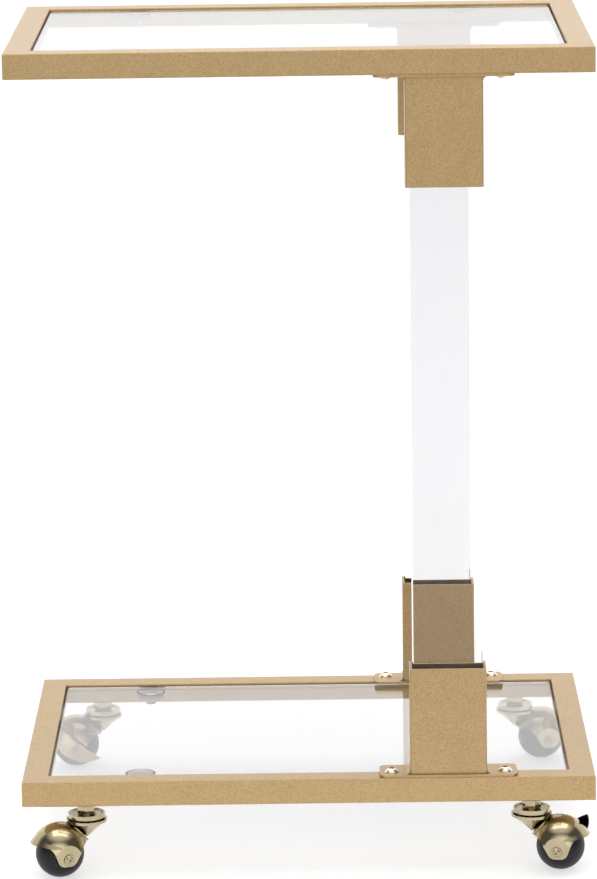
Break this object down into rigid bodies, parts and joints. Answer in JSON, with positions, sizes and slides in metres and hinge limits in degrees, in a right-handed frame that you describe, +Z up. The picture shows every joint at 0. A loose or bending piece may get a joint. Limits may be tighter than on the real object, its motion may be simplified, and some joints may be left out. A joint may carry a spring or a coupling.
{
  "type": "bar cart",
  "caption": "Rolling side cart with two glass shelves in metal tube frames, offset clear posts and ball casters that swivel.",
  "frame": {"origin": "on the floor under the centre of the cart, the bottom centre of its box", "axes": "+Z up, +X to the right along the long side where the posts stand, +Y from the front to the rear"},
  "size_m": [0.45, 0.357, 0.65],
  "materials": {
    "gold_paint": "satin metallic",
    "clear_glass": "clear polished",
    "clear_acrylic": "clear polished",
    "clear_cup": "clear soft vinyl",
    "bright_screw": "polished",
    "zinc_steel": "zinc plated",
    "insert_brass": "turned",
    "polished_brass": "polished pale plating",
    "black_wheel": "satin black"
  },
  "bodies": {
    "cart": {"top_rail_front": "gold_paint", "top_rail_rear": "gold_paint", "top_rail_left": "gold_paint", "top_rail_right": "gold_paint", "base_rail_front": "gold_paint", "base_rail_rear": "gold_paint", "base_rail_left": "gold_paint", "base_rail_right": "gold_paint", "upper_sleeve_front": "gold_paint", "upper_sleeve_rear": "gold_paint", "lower_sleeve_front": "gold_paint", "lower_sleeve_rear": "gold_paint", "top_glass_tabs": "gold_paint", "base_glass_tabs": "gold_paint", "top_glass": "clear_glass", "base_glass": "clear_glass", "post_front": "clear_acrylic", "post_rear": "clear_acrylic", "top_suction_cups": "clear_cup", "base_suction_cups": "clear_cup", "upper_sleeve_screws": "bright_screw", "lower_sleeve_screws": "bright_screw", "upper_rivet_nuts": "zinc_steel", "lower_rivet_nuts": "zinc_steel", "caster_stem_nuts": "zinc_steel", "post_end_screws": "zinc_steel", "post_inserts": "insert_brass", "front_left_stem": "polished_brass", "front_left_race_cap": "polished_brass", "front_right_stem": "polished_brass", "front_right_race_cap": "polished_brass", "rear_left_stem": "polished_brass", "rear_left_race_cap": "polished_brass", "rear_right_stem": "polished_brass", "rear_right_race_cap": "polished_brass"},
    "front_left_swivel": {"front_left_hood": "polished_brass", "front_left_bearing_balls": "zinc_steel", "front_left_axle": "polished_brass"},
    "front_left_roller": {"front_left_wheel": "black_wheel"},
    "front_right_swivel": {"front_right_hood": "polished_brass", "front_right_bearing_balls": "zinc_steel", "front_right_axle": "polished_brass"},
    "front_right_roller": {"front_right_wheel": "black_wheel"},
    "front_right_brake": {"front_right_brake_lever": "polished_brass", "front_right_brake_cam": "zinc_steel"},
    "rear_left_swivel": {"rear_left_hood": "polished_brass", "rear_left_bearing_balls": "zinc_steel", "rear_left_axle": "polished_brass"},
    "rear_left_roller": {"rear_left_wheel": "black_wheel"},
    "rear_left_brake": {"rear_left_brake_lever": "polished_brass", "rear_left_brake_cam": "zinc_steel"},
    "rear_right_swivel": {"rear_right_hood": "polished_brass", "rear_right_bearing_balls": "zinc_steel", "rear_right_axle": "polished_brass"},
    "rear_right_roller": {"rear_right_wheel": "black_wheel"}
  },
  "joints": [
    {"name": "front_left_caster_swivel", "type": "hinge", "parent": "cart", "child": "front_left_swivel", "pos_m": [-0.175, -0.1475, 0.0455], "axis": [0, 0, 1], "continuous": true},
    {"name": "front_left_wheel_spin", "type": "hinge", "parent": "front_left_swivel", "child": "front_left_roller", "pos_m": [-0.19617, -0.15649, 0.019], "axis": [0.3907, -0.9205, 0], "continuous": true},
    {"name": "front_right_caster_swivel", "type": "hinge", "parent": "cart", "child": "front_right_swivel", "pos_m": [0.175, -0.1475, 0.0455], "axis": [0, 0, 1], "continuous": true},
    {"name": "front_right_wheel_spin", "type": "hinge", "parent": "front_right_swivel", "child": "front_right_roller", "pos_m": [0.1975, -0.15228, 0.019], "axis": [0.2079, 0.9781, 0], "continuous": true},
    {"name": "front_right_brake_rock", "type": "hinge", "parent": "front_right_swivel", "child": "front_right_brake", "pos_m": [0.1975, -0.15228, 0.019], "axis": [-0.2079, -0.9781, 0], "range_deg": [-25, 0]},
    {"name": "rear_left_caster_swivel", "type": "hinge", "parent": "cart", "child": "rear_left_swivel", "pos_m": [-0.175, 0.1475, 0.0455], "axis": [0, 0, 1], "continuous": true},
    {"name": "rear_left_wheel_spin", "type": "hinge", "parent": "rear_left_swivel", "child": "rear_left_roller", "pos_m": [-0.198, 0.1475, 0.019], "axis": [0, -1, 0], "continuous": true},
    {"name": "rear_left_brake_rock", "type": "hinge", "parent": "rear_left_swivel", "child": "rear_left_brake", "pos_m": [-0.198, 0.1475, 0.019], "axis": [0, 1, 0], "range_deg": [-25, 0]},
    {"name": "rear_right_caster_swivel", "type": "hinge", "parent": "cart", "child": "rear_right_swivel", "pos_m": [0.175, 0.1475, 0.0455], "axis": [0, 0, 1], "continuous": true},
    {"name": "rear_right_wheel_spin", "type": "hinge", "parent": "rear_right_swivel", "child": "rear_right_roller", "pos_m": [0.19711, 0.15384, 0.019], "axis": [-0.2756, 0.9613, 0], "continuous": true}
  ]
}
